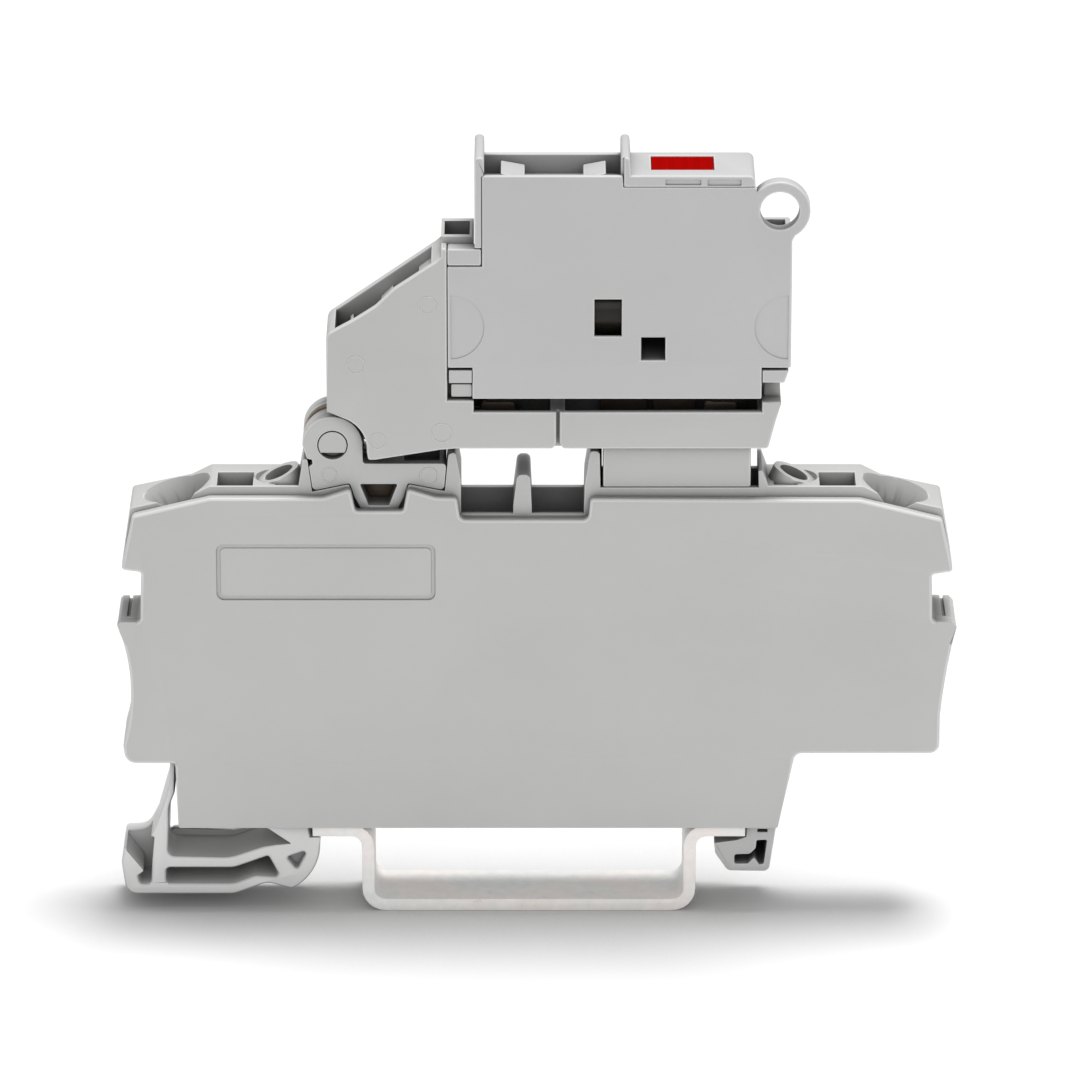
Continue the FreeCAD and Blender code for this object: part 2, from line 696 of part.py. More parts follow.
def carrier_frame():
    """Swing arm with its band: the arm carries the hinge hub, the band carries the plug."""
    body = new_body("carrier_frame")
    x, z = PIVOT
    radius = SIZE["ear_radius"]
    band_end = [(18.5, BAND_TOP), (18.5, 36.5), (20.05, 36.5, 0.1), (19.6, 34.9), (19.0, BAND_LOW, 0.35)]
    top_block = [(-6.9, 48.6), (-6.9, 49.8, 0.1), (CARRIER_WALL, 49.8, 0.1), (CARRIER_WALL, BAND_TOP)]
    outline = [(CARRIER_LEFT, 42.0, 0.8)] + FRONT_RIM + top_block + band_end + carrier_underside()
    slab(body, [outline], "front_face", "carrier_seam")
    catch_post = box(18.65, 36.0, 19.95, 39.15, 0.1)
    slab(body, [catch_post], "wing_back + 0.05", "carrier_seam")
    wing_recess = [(-6.44, 36.62), (-3.0, 36.62), (-3.0, 51.0), (-7.5, 51.0), (-7.5, 49.3), (-6.44, 49.3)]
    pocket(body, [wing_recess], "front_face", "wing_back + 0.05")
    slab(body, [box(-6.12, 36.88, -4.52, 37.9, 0.1)], "front_face + 0.25", "wing_back + 0.1")
    hub_link = [(x, z + 1.0), (x + 1.0, z), (x + 3.6, z + 0.2), (x + 3.0, z + 3.0), (x + 0.2, z + 3.6)]
    slab(body, [hub_link], HUB_FRONT, HUB_BACK)
    round_slab(body, x, z, "ear_radius", HUB_FRONT, HUB_BACK)
    hollow_arm(body)
    hollow_band(body)
    eye_room = "ear_radius + 0.1"
    round_pocket(body, x, z, eye_room, BLADE_FRONT + " - play", BLADE_BACK + " + play + 0.45")
    round_pocket(body, x, z, "pin_radius", "front_face", "back_face")
    return body


def hollow_arm(body):
    """Open finger pocket in the sloping top, with two sunk ribs, and the small test pocket beside it."""
    skin = "front_face + carrier_skin"
    above_ribs = [
        (-15.3, 41.3),
        (-13.7, 42.2),
        (-12.1, 43.2),
        (-10.65, 44.6),
        (-7.7, 46.8),
        (-7.7, 50.0),
        (-15.3, 50.0),
    ]
    pocket(body, [above_ribs], skin, "carrier_seam")
    cells = [box(-15.3, 39.0, -14.2, 42.5), box(-13.9, 38.0, -11.1, 43.5), box(-10.75, 38.0, -7.7, 46.0)]
    pocket(body, cells, skin, "carrier_seam")
    sunk_pocket(body, -6.65, -1.0, -4.65, 2.4, "50", "38")
    strip_room = [
        (-15.0, 33.6),
        (-12.0, 33.6),
        (-11.6, 33.2),
        (-4.2, 33.2),
        (-4.2, 35.4),
        (-10.8, 35.4),
        (-13.0, 37.0),
        (-15.0, 37.0),
    ]
    pocket(body, [strip_room], "blade_mid + 0.3", "carrier_seam")


def hollow_band(body):
    """Trough under the plug, the slit in its front wall, and the passage of the knife contact."""
    skin = "front_face + carrier_skin"
    pocket(body, [box(-4.4, BAND_FLOOR, 1.7, 36.0), box(2.9, BAND_FLOOR, 18.2, 36.0)], skin, "carrier_seam")
    vee = BAND_LOW - 0.1
    slit = [(2.2, 36.0), (2.2, 33.0), (1.85, vee), (2.8, vee), (2.45, 33.0), (2.45, 36.0)]
    pocket(body, [slit], "front_face", skin)
    sunk_pocket(body, 6.4, -0.9, 17.2, 1.9, "34", "32")


def carrier_cover():
    """Rear cover of the carrier."""
    body = new_body("carrier_cover")
    post = [(18.5, BAND_TOP), (18.5, 36.4), (18.65, 39.15, 0.1), (19.95, 39.15, 0.1)]
    band_end = post + [(20.05, 36.5), (19.6, 34.9), (19.0, BAND_LOW, 0.35)]
    rim = [(-15.5, 42.3, 0.5), (-7.35, 48.0, 0.3)]
    top_block = [(-6.9, 48.4), (-6.9, 49.8, 0.1), (CARRIER_WALL, 49.8, 0.1), (CARRIER_WALL, BAND_TOP)]
    outline = [(CARRIER_LEFT, 42.0, 0.8)] + rim + top_block + band_end + carrier_underside()
    slab(body, [outline], "carrier_seam", "back_face")
    return body


def receiver_leaves(body, x_low, x_high):
    """A foot with two leaves in the carrier's trough, which take a blade of the plug from above."""
    near = "blade_mid - blade_thick / 2 - leaf_gap"
    far = "blade_mid + blade_thick / 2 + leaf_gap"
    foot = box(x_low, BAND_FLOOR, x_high, BAND_FLOOR + 0.35)
    leaf = [(x_low, BAND_FLOOR), (x_high, BAND_FLOOR), (x_high - 0.2, 35.5, 0.3), (x_low + 0.2, 35.5, 0.3)]
    slab(body, [foot], near + " - leaf_thick", far + " + leaf_thick")
    slab(body, [leaf], near + " - leaf_thick", near)
    slab(body, [leaf], far, far + " + leaf_thick")


def swing_contact():
    """Wiping ring beside the hinge eye, and the strip that leads to the receiver of the left blade."""
    body = new_body("swing_contact")
    x, z = PIVOT
    face, rear = BLADE_BACK + " + 0.05", BLADE_BACK + " + 0.45"
    round_slab(body, x, z, "ear_radius - 0.1", face, rear)
    lead = [
        (x + 0.4, z + 1.2),
        (x + 1.8, z + 0.9),
        (-12.6, 33.75),
        (-11.4, 33.45),
        (-3.4, 33.45),
        (-3.4, 34.6),
        (-11.2, 34.6),
        (x + 0.9, z + 2.2),
    ]
    slab(body, [lead], face, rear)
    receiver_leaves(body, -4.0, -0.9)
    round_pocket(body, x, z, "pin_radius + 0.02", face, rear)
    return body


def contact_shroud():
    """Insulating sleeve round the knife, hung under the band."""
    body = new_body("contact_shroud")
    sill = KNIFE_SILL + 0.03
    slab(body, [box(5.92, sill, 17.68, BAND_LOW)], "plate_back", "back_face")
    nose = [
        (5.92, sill),
        (5.92, 27.6, 0.4),
        (6.6, 27.2),
        (16.9, 27.2, 0.4),
        (17.68, 28.2, 0.4),
        (17.68, sill),
    ]
    slab(body, [nose], "-1.4", "2.4")
    neck = box(6.45, BAND_LOW - 0.3, 17.15, BAND_FLOOR)
    slab(body, [neck], "-0.85", "1.85")
    sunk_pocket(body, 8.0, -0.1, 16.85, 1.1, "34", "31.5")
    sunk_pocket(body, 6.7, -0.8, 17.0, 1.8, "31.6", "27")
    return body


def knife_contact():
    """Knife blade for the fork in the base, with a receiver for the plug's right blade on top."""
    body = new_body("knife_contact")
    knife = [
        (8.1, BAND_FLOOR + 0.1),
        (8.1, 27.5),
        (9.3, 26.5),
        (9.3, 22.3),
        (10.1, 21.4),
        (13.9, 21.4),
        (14.7, 22.3),
        (14.7, 26.5),
        (16.75, 28.5),
        (16.75, BAND_FLOOR + 0.1),
    ]
    slab(body, [knife], BLADE_FRONT, BLADE_BACK)
    receiver_leaves(body, 13.8, 16.75)
    rear_leaf = BLADE_BACK + " + leaf_gap"
    floor_strip = box(5.7, BAND_FLOOR, 14.0, BAND_FLOOR + 0.35)
    slab(body, [floor_strip], BLADE_FRONT, rear_leaf + " + leaf_thick")
    for low, high in ((5.7, 9.4), (9.9, 13.3)):
        tab = [(low, BAND_FLOOR), (high, BAND_FLOOR), (high, 35.9, 0.3), (low, 35.9, 0.3)]
        slab(body, [tab], rear_leaf, rear_leaf + " + leaf_thick")
    return body


# ---------------------------------------------------------------- fuse plug
PLUG_LEFT, PLUG_RIGHT, PLUG_TOP, PLUG_LOW = -4.25, 20.75, 55.3, 36.75
PLUG_STEP = 17.8  # right side of the plug above its shoulder
SHOULDER = 49.9  # top of the column under the pull ring
CATCH = 39.35  # underside of the plug's two wings


def plug_body():
    """Rear shell of the plug: fuse chamber, lamp chamber and marker holder."""
    body = new_body("plug_body")
    outline = [
        (PLUG_LEFT, PLUG_LOW),
        (PLUG_LEFT, 56.8, 0.3),
        (-3.5, 56.8, 0.3),
        (-3.5, PLUG_TOP),
        (7.25, PLUG_TOP),
        (7.25, 56.8, 0.3),
        (7.95, 56.8, 0.3),
        (8.05, PLUG_TOP),
        (PLUG_STEP, PLUG_TOP, 0.5),
        (PLUG_STEP, SHOULDER),
        (PLUG_RIGHT, SHOULDER, 0.2),
        (PLUG_RIGHT, CATCH),
        (18.45, CATCH),
        (18.45, PLUG_LOW),
    ]
    slab(body, [outline], "plug_seam", "back_face")
    left_fin = [
        (PLUG_LEFT, 49.3),
        (-3.72, 49.3),
        (-3.72, 55.2),
        (-3.5, 55.35),
        (-3.5, 56.8, 0.3),
        (PLUG_LEFT, 56.8, 0.3),
    ]
    right_fin = [
        (7.48, 54.38),
        (PLUG_STEP, 54.38),
        (PLUG_STEP, PLUG_TOP, 0.5),
        (8.05, PLUG_TOP),
        (7.95, 56.8, 0.3),
        (7.5, 56.8, 0.15),
    ]
    slab(body, [left_fin, right_fin], "front_face", "plug_seam + 0.2")
    patch = box(-6.4, 47.88, -3.74, 49.25, 0.15)
    left_catch = box(-6.3, 38.1, -4.5, 39.15, 0.05)
    right_catch = [(18.5, 38.1), (20.25, 38.1), (20.6, 39.15), (18.5, 39.15)]
    slab(body, [patch, left_catch, right_catch], "front_face", "wing_back")
    slab(body, [box(-5.0, 38.1, -4.0, 39.15), box(18.0, 38.1, 18.8, 39.15)], "plug_seam", "wing_back")
    windows = [box(10.75, 54.55, 13.55, 55.0, 0.08), box(14.05, 54.5, 16.7, 55.0, 0.08)]
    pocket(body, windows, "front_face", "front_face + 0.12")
    hollow_plug(body)
    return body


def hollow_plug(body):
    rear = "back_face - plug_skin"
    window_ledge = [(8.4, 37.45), (8.4, 39.95), (11.3, 39.95), (11.3, 37.45)]
    right_end = [(17.8, 37.45), (17.8, 40.0), (20.0, 40.0), (20.0, 46.6)]
    fuse_chamber = [(-3.6, 46.6), (-3.6, 37.45)] + window_ledge + right_end
    lamp_chamber = [(2.2, 47.1), (17.1, 47.1), (17.1, 54.3), (8.1, 54.3), (8.1, 52.9), (2.2, 52.9)]
    pocket(body, [fuse_chamber, lamp_chamber], "plug_seam", rear)
    sunk_pocket(body, -3.5, -2.65, 7.25, 2.6, "56", "53.7")
    sunk_pocket(body, 9.65, -1.4, 14.6, 2.25, "56", "54")
    sunk_pocket(body, 18.2, -2.0, 20.3, 2.65, "51", "47.4")
    sunk_pocket(body, -3.6, -0.1, -0.6, 1.1, "38", "36")
    sunk_pocket(body, 13.5, -0.1, 17.6, 1.1, "38", "36")
    for low, high, peak, shallow in ((-2.2, -0.3, 55.05, 54.7), (4.3, 6.1, 54.7, 55.05)):
        ramp = [(low, 53.6), (high, 53.6), (high, shallow), (low, peak)]
        slab(body, [ramp], "-1.6", "1.8")
    pocket(body, [box(2.6, 46.4, 3.6, 47.3), box(15.6, 46.4, 16.6, 47.3)], "plug_seam", "1.5")


def plug_cover():
    """Front shell of the plug, with two windows, the left wing and the pull ring."""
    body = new_body("plug_cover")
    left_wing = [
        (-4.46, PLUG_LOW),
        (-4.46, CATCH),
        (-6.4, CATCH),
        (-6.4, 47.8),
        (-3.68, 47.8),
        (-3.68, PLUG_TOP),
    ]
    outline = left_wing + [
        (7.4, PLUG_TOP),
        (7.45, 54.37),
        (17.9, 54.37),
        (17.9, SHOULDER),
        (PLUG_RIGHT, SHOULDER),
        (PLUG_RIGHT, CATCH),
        (18.45, CATCH),
        (18.45, PLUG_LOW),
    ]
    slab(body, [outline], "front_face", "plug_seam")
    ring_web = [
        (17.9, 54.0),
        (17.8, SHOULDER - 0.2),
        (PLUG_RIGHT, SHOULDER - 0.2),
        (PLUG_RIGHT, SHOULDER),
        (21.3, 51.0),
        (19.5, 52.4),
    ]
    slab(body, [ring_web], "front_face", "plug_seam")
    round_slab(body, SIZE["ring_x"], SIZE["ring_z"], "ring_outer", "front_face", "ring_back")
    pocket(body, [box(17.0, SHOULDER, 17.95, 56.0)], "plug_seam", "ring_back")
    slab(body, [box(-6.4, CATCH, -4.4, 47.8)], "front_face", "wing_back")
    round_pocket(body, SIZE["ring_x"], SIZE["ring_z"], "ring_hole", "front_face", "ring_back")
    pocket(body, [box(5.2, 42.0, 7.35, 45.05), box(8.9, 40.0, 10.8, 41.9)], "front_face", "plug_seam")
    dish = 2.65
    low, high = 42.75 - dish, 42.75 + dish
    left_edge, right_edge = -6.15, PLUG_RIGHT - 0.25
    left_dish = [(left_edge, low), (left_edge + dish, 42.75, left_edge, high)]
    right_dish = [(right_edge, high), (right_edge - dish, 42.75, right_edge, low)]
    pocket(body, [left_dish, right_dish], "front_face", "front_face + 0.06")
    return body


def plug_contact(label, side):
    """End spring that presses on a fuse cap, and the blade that leaves the plug below it."""
    body = new_body(label)
    end = SIZE["fuse_length"] / 2 + 0.05
    inward = lambda distance: SIZE["fuse_x"] + side * distance
    press = [
        (inward(end), 38.0),
        (inward(end + 0.4), 38.0),
        (inward(end + 0.4), 45.9),
        (inward(end), 45.9),
    ]
    slab(body, [press], "blade_mid - 2", "blade_mid + 2")
    blade = [
        (inward(end + 0.4), 38.5),
        (inward(end + 0.4), 34.2),
        (inward(end - 0.2), 33.6),
        (inward(end - 1.9), 33.6),
        (inward(end - 2.4), 34.2),
        (inward(end - 2.4), 38.5),
    ]
    slab(body, [blade], BLADE_FRONT, BLADE_BACK)
    return body


def cartridge_fuse():
    """Glass tube, two end caps and the fuse wire, on one axis along X."""
    middle, half, cap = SIZE["fuse_x"], SIZE["fuse_length"] / 2, SIZE["cap_length"]
    wall = 0.2
    reach = half - wall - 0.05
    glass = turned("fuse_tube_blank", "tube_radius", middle - reach, "fuse_length - 0.5")
    bore = turned("fuse_tube_bore", "tube_bore", middle - half, "fuse_length")
    tube = doc.addObject("Part::Cut", "fuse_tube")
    tube.Label = "fuse_tube"
    tube.Base, tube.Tool = glass, bore
    made = [tube]
    for name, side in (("left", -1), ("right", 1)):
        outer = middle - half if side < 0 else middle + half - cap
        inner = outer + wall if side < 0 else outer
        shell = turned("fuse_cap_%s_blank" % name, "cap_radius", outer, "cap_length")
        room = turned("fuse_cap_%s_room" % name, "tube_radius + 0.03", inner, "cap_length - %s" % wall)
        cup = doc.addObject("Part::Cut", "fuse_cap_" + name)
        cup.Label = "fuse_cap_" + name
        cup.Base, cup.Tool = shell, room
        made.append(cup)
    wire = turned("fuse_element", "0.12", middle - half + wall, "fuse_length - %s" % (2 * wall))
    return made + [wire]


def indicator():
    """Blown-fuse lamp: board, red lens, lamp, chip resistors and the two leads to the fuse contacts."""
    board = block("indicator_board", 2.7, 0.2, 47.4, 16.7, 1.0, 52.0)
    lens = new_body("indicator_lens")
    slab(lens, [box(9.68, 54.05, 14.57, 55.2, 0.1)], "-1.37", "2.22")
    lamp = new_body("indicator_led")
    dome = [(11.0, 52.05), (13.2, 52.05), (13.2, 53.0), (13.0, 53.0), (12.1, 53.9, 11.2, 53.0), (11.0, 53.0)]
    slab(lamp, [dome], "-0.4", "1.6")
    chips = [
        block("chip_resistor_%d" % number, x, -0.4, 49.0, x + 1.6, 0.2, 50.9)
        for number, x in enumerate((4.4, 7.0, 14.0), start=1)
    ]
    leads = []
    level = 46.35
    for name, board_x, contact_x in (("left", 3.1, -3.25), ("right", 16.1, 17.25)):
        lead = new_body("indicator_lead_" + name)
        path = [(board_x, 48.0), (board_x, level, 0.25), (contact_x, level, 0.25), (contact_x, 45.9)]
        slab(lead, [strip(path, 0.2)], "-0.1", "0.15")
        leads.append(lead)
    return [board, lens, lamp] + chips + leads


def build():
    made = [
        end_plate(),
        terminal_housing(),
        rail_foot(),
        busbar("busbar_left", BUSBAR_END, -3.3),
        busbar("busbar_right", mirrored(BUSBAR_END), 2.3),
        clamp_spring("clamp_spring_left", CLAMP_SPRING),
        clamp_spring("clamp_spring_right", mirrored(CLAMP_SPRING)),
        fork_contact("fork_contact_left", -14.0, -9.8, 24.6),
        fork_contact("fork_contact_right", 9.4, 14.6, 25.9),
        hinge_bracket(),
        hinge_blade(),
        hinge_pin(),
        carrier_frame(),
        carrier_cover(),
        swing_contact(),
        contact_shroud(),
        knife_contact(),
        plug_body(),
        plug_cover(),
        plug_contact("plug_contact_left", -1),
        plug_contact("plug_contact_right", 1),
    ]
    return made + cartridge_fuse() + indicator()


def export(nodes):
    os.makedirs("parts", exist_ok=True)
    for old in os.listdir("parts"):
        os.remove(os.path.join("parts", old))
    doc.recompute()
    for item in doc.Objects:
        if "Invalid" in item.State or "Error" in item.State:
            raise RuntimeError("%s failed to build" % item.Name)
    for node in nodes:
        shape = node.Shape
        if shape.isNull() or not shape.isValid() or not shape.Solids:
            raise RuntimeError("%s has no valid solid" % node.Label)
        print("%-22s solids %d  volume %8.2f mm3" % (node.Label, len(shape.Solids), shape.Volume))
        shape.exportStep(os.path.join("parts", node.Label + ".step"))


export(build())
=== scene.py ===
"""Looks for a rail-mounted fuse terminal block: materials, moulded edges and small surface
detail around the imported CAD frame, on a pale floor with a short length of mounting rail under it.
"""

import json
import math

import bmesh
import bpy
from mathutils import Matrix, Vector


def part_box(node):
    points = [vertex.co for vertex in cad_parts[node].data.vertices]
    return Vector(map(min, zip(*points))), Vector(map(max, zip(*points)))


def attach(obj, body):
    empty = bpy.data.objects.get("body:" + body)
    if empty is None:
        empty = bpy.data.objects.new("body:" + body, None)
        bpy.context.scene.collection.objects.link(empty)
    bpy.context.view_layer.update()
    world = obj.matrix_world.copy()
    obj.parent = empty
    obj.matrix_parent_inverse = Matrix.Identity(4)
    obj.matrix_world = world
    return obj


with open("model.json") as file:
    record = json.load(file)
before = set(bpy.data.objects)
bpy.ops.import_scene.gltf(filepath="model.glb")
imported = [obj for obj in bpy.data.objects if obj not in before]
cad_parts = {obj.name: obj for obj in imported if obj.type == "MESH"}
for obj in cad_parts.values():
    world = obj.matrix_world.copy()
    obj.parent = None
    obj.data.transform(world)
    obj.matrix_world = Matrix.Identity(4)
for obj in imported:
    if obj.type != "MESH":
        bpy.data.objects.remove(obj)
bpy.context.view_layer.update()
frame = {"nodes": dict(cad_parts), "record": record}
NODES = frame["nodes"]
MM = 0.001


# ---------------------------------------------------------------- node helpers
def new_material(name):
    """An empty node material and its shader."""
    material = bpy.data.materials.new(name)
    material.use_nodes = True
    tree = material.node_tree
    tree.nodes.clear()
    output = tree.nodes.new("ShaderNodeOutputMaterial")
    shader = tree.nodes.new("ShaderNodeBsdfPrincipled")
    tree.links.new(shader.outputs[0], output.inputs[0])
    return material, tree, shader


def add(tree, kind, **values):
    """A node with its properties and unlinked inputs set by name."""
    node = tree.nodes.new(kind)
    for key, value in values.items():
        if hasattr(node, key):
            setattr(node, key, value)
        else:
            node.inputs[key.replace("_", " ")].default_value = value
    return node


def position(tree, stretch=(1, 1, 1), shift=(0, 0, 0)):
    """Object coordinates in millimetres, stretched along the axes."""
    coords = add(tree, "ShaderNodeTexCoord")
    mapping = add(tree, "ShaderNodeMapping")
    mapping.inputs["Scale"].default_value = [s / MM for s in stretch]
    mapping.inputs["Location"].default_value = shift
    tree.links.new(coords.outputs["Object"], mapping.inputs["Vector"])
    return mapping.outputs[0]


def noise(tree, vector, per_mm, detail=3.0, rough=0.55):
    """Noise with so many waves per millimetre."""
    node = add(tree, "ShaderNodeTexNoise", Scale=per_mm, Detail=detail, Roughness=rough)
    tree.links.new(vector, node.inputs["Vector"])
    return node.outputs["Fac"]


def remap(tree, value, low, high, to_low, to_high):
    """A value moved from one range to another."""
    node = add(tree, "ShaderNodeMapRange")
    for name, number in (
        ("From Min", low),
        ("From Max", high),
        ("To Min", to_low),
        ("To Max", to_high),
    ):
        node.inputs[name].default_value = number
    tree.links.new(value, node.inputs["Value"])
    return node.outputs[0]


def blend_colour(tree, factor, first, second, mode="MIX"):
    """Two colours mixed by a factor. Each may be a colour or a socket."""
    node = add(tree, "ShaderNodeMix", data_type="RGBA", blend_type=mode)
    for socket, value in ((0, factor), (6, first), (7, second)):
        if isinstance(value, bpy.types.NodeSocket):
            tree.links.new(value, node.inputs[socket])
        elif socket == 0:
            node.inputs[0].default_value = value
        else:
            node.inputs[socket].default_value = (*value, 1.0)
    return node.outputs[2]


def bump(tree, shader, layers):
    """Stacked bump: (height socket, depth in mm)."""
    normal = None
    for height, depth in layers:
        node = add(tree, "ShaderNodeBump", Strength=1.0, Distance=depth * MM)
        tree.links.new(height, node.inputs["Height"])
        if normal is not None:
            tree.links.new(normal, node.inputs["Normal"])
        normal = node.outputs[0]
    tree.links.new(normal, shader.inputs["Normal"])


def edge_mask(tree, radius):
    """1 along convex edges and 0 on flat faces, from rounded and true normals."""
    rounded = add(tree, "ShaderNodeBevel", samples=4)
    rounded.inputs["Radius"].default_value = radius * MM
    true_normal = add(tree, "ShaderNodeNewGeometry")
    dot = add(tree, "ShaderNodeVectorMath", operation="DOT_PRODUCT")
    tree.links.new(rounded.outputs[0], dot.inputs[0])
    tree.links.new(true_normal.outputs["Normal"], dot.inputs[1])
    return remap(tree, dot.outputs["Value"], 0.98, 0.80, 0.0, 1.0)


def crevice(tree, distance):
    """1 in the open and lower in narrow gaps."""
    node = add(tree, "ShaderNodeAmbientOcclusion", samples=6)
    node.inputs["Distance"].default_value = distance * MM
    return node.outputs["AO"]


def in_shade(tree, base, colour, depth=0.94, open_at=0.78):
    """The base colour with painted shade: gone dark deep down in slots and gaps, by ambient
    occlusion.
    """
    depth = remap(tree, crevice(tree, 9.0), 0.08, open_at, depth, 0.0)
    return blend_colour(tree, depth, base, [c * 0.10 for c in colour])


# ---------------------------------------------------------------- materials
def moulded_plastic(name, colour, seed, shade=0.94):
    """Moulded polyamide: spark-eroded grain, faint flow marks and cloudy tone, painted shade deep
    down in gaps and a little painted shade in narrow creases."""
    material, tree, shader = new_material(name)
    place = position(tree, shift=(seed, seed * 2.0, seed * 3.0))
    clouds = noise(tree, place, 0.09, detail=4.0)
    speckle = noise(tree, place, 9.0, detail=2.0)
    along_flow = position(tree, stretch=(0.05, 0.4, 0.35), shift=(seed, 0, 0))
    flow = noise(tree, along_flow, 1.0, detail=5.0)
    dark = [c * 0.97 for c in colour]
    light = [min(1.0, c * 1.02) for c in colour]
    base = blend_colour(tree, remap(tree, clouds, 0.3, 0.7, 0.0, 1.0), dark, light)
    base = blend_colour(tree, remap(tree, flow, 0.35, 0.7, 0.0, 0.35), base, light)
    specks = remap(tree, speckle, 0.35, 0.65, 0.0, 0.15)
    base = blend_colour(tree, specks, base, [c * 0.9 for c in colour])
    # Painted shade: darker in narrow creases, found by ambient occlusion.
    crease_shade_colour = [c * 0.80 for c in colour]
    base = blend_colour(tree, remap(tree, crevice(tree, 0.5), 0.2, 0.7, 0.5, 0.0), base, crease_shade_colour)
    # Painted shade deep down in slots and gaps.
    tree.links.new(in_shade(tree, base, colour, shade), shader.inputs["Base Color"])
    tree.links.new(remap(tree, clouds, 0.3, 0.7, 0.50, 0.42), shader.inputs["Roughness"])
    shader.inputs["IOR"].default_value = 1.53
    shader.inputs["Specular IOR Level"].default_value = 0.42
    bump(tree, shader, [(noise(tree, place, 14.0, detail=2.0), 0.004), (flow, 0.008)])
    return material


def metal(name, colour, stain, rough, grain, depth=0.004):
    """Rolled or plated metal: fine lines along the strip, cloudy stain, uneven shine, edges lighter
    from wear and a painted highlight, and painted shade deep down in gaps.
    """
    material, tree, shader = new_material(name)
    place = position(tree)
    lines = noise(tree, position(tree, stretch=grain), 1.0, detail=4.0)
    clouds = noise(tree, place, 0.5, detail=5.0, rough=0.6)
    base = blend_colour(tree, remap(tree, clouds, 0.35, 0.7, 0.0, 1.0), colour, stain)
    grooves = remap(tree, lines, 0.3, 0.7, 0.0, 0.25)
    base = blend_colour(tree, grooves, base, [c * 0.8 for c in colour])
    # Lighter along convex edges: wear and a painted highlight.
    edge_wear_and_highlight = blend_colour(tree, edge_mask(tree, 0.10), base, [min(1.0, c * 1.2) for c in colour])
    # Painted shade deep down in gaps, stronger than on the mouldings.
    tree.links.new(in_shade(tree, edge_wear_and_highlight, colour, open_at=0.90), shader.inputs["Base Color"])
    tree.links.new(remap(tree, clouds, 0.3, 0.7, rough, rough + 0.14), shader.inputs["Roughness"])
    shader.inputs["Metallic"].default_value = 1.0
    bump(tree, shader, [(lines, depth)])
    return material


def zinc():
    """Passivated zinc plating: matte grey mottled faintly pink and green, scratched lengthwise."""
    material, tree, shader = new_material("rail_zinc")
    place = position(tree)
    spots = noise(tree, place, 1.1, detail=6.0, rough=0.7)
    tint = noise(tree, place, 0.16, detail=3.0)
    scratches = noise(tree, position(tree, stretch=(9.0, 0.5, 9.0)), 1.0, detail=3.0)
    base = blend_colour(
        tree, remap(tree, tint, 0.42, 0.58, 0.0, 1.0), (0.92, 0.86, 0.83), (0.84, 0.86, 0.84)
    )
    base = blend_colour(tree, remap(tree, spots, 0.45, 0.62, 0.0, 0.6), base, (0.97, 0.94, 0.92))
    base = blend_colour(tree, remap(tree, spots, 0.38, 0.28, 0.0, 0.6), base, (0.60, 0.57, 0.56))
    tree.links.new(base, shader.inputs["Base Color"])
    tree.links.new(remap(tree, spots, 0.3, 0.7, 0.42, 0.60), shader.inputs["Roughness"])
    shader.inputs["Metallic"].default_value = 0.1
    bump(tree, shader, [(spots, 0.02), (scratches, 0.01)])
    return material


def red_lens():
    """Deep red polycarbonate, ribbed on its inner side, with fine scuffs on top."""
    material, tree, shader = new_material("lens_red")
    place = position(tree)
    ribs = add(tree, "ShaderNodeTexWave", Scale=0.32, Distortion=0.0)
    tree.links.new(place, ribs.inputs["Vector"])
    scuffs = noise(tree, place, 1.2, detail=4.0, rough=0.6)
    ribbed = remap(tree, ribs.outputs["Fac"], 0.2, 0.8, 0.0, 0.3)
    base = blend_colour(tree, ribbed, (0.33, 0.002, 0.0015), (0.23, 0.002, 0.0015))
    base = blend_colour(tree, remap(tree, scuffs, 0.45, 0.7, 0.0, 0.5), base, (0.28, 0.002, 0.0015))
    tree.links.new(base, shader.inputs["Base Color"])
    tree.links.new(remap(tree, scuffs, 0.4, 0.8, 0.30, 0.42), shader.inputs["Roughness"])
    shader.inputs["IOR"].default_value = 1.45
    shader.inputs["Specular IOR Level"].default_value = 0.0
    bump(tree, shader, [(ribs.outputs["Fac"], 0.006), (scuffs, 0.003)])
    return material


def fuse_glass():
    """Tube glass painted dark for the shade inside the fuse's chamber, with a faint haze and drawn
    streaks along it.
    """
    material, tree, shader = new_material("fuse_glass")
    streaks = noise(tree, position(tree, stretch=(0.2, 3.0, 3.0)), 1.0, detail=4.0)
    # Painted shade: the dark glass stands in for the shaded chamber behind the window.
    chamber_shade_colour = blend_colour(tree, streaks, (0.030, 0.024, 0.018), (0.018, 0.014, 0.010))
    tree.links.new(chamber_shade_colour, shader.inputs["Base Color"])
    tree.links.new(remap(tree, streaks, 0.3, 0.8, 0.25, 0.40), shader.inputs["Roughness"])
    shader.inputs["Transmission Weight"].default_value = 0.4
    shader.inputs["IOR"].default_value = 1.5
    shader.inputs["Specular IOR Level"].default_value = 0.1
    bump(tree, shader, [(streaks, 0.003)])
    return material


def circuit_board():
    """Green solder mask with the copper showing faintly through, in broad traces."""
    material, tree, shader = new_material("board_green")
    place = position(tree)
    traces = add(tree, "ShaderNodeTexBrick", Scale=0.35)
    tree.links.new(place, traces.inputs["Vector"])
    weave = noise(tree, position(tree, stretch=(6.0, 6.0, 1.0)), 1.0, detail=2.0)
    copper = remap(tree, traces.outputs["Fac"], 0, 1, 0.0, 1.0)
    base = blend_colour(tree, copper, (0.02, 0.16, 0.07), (0.04, 0.24, 0.10))
    base = blend_colour(tree, remap(tree, weave, 0.4, 0.6, 0.0, 0.3), base, (0.01, 0.10, 0.05))
    tree.links.new(base, shader.inputs["Base Color"])
    tree.links.new(remap(tree, weave, 0.3, 0.7, 0.25, 0.4), shader.inputs["Roughness"])
    bump(tree, shader, [(traces.outputs["Fac"], 0.02), (weave, 0.006)])
    return material


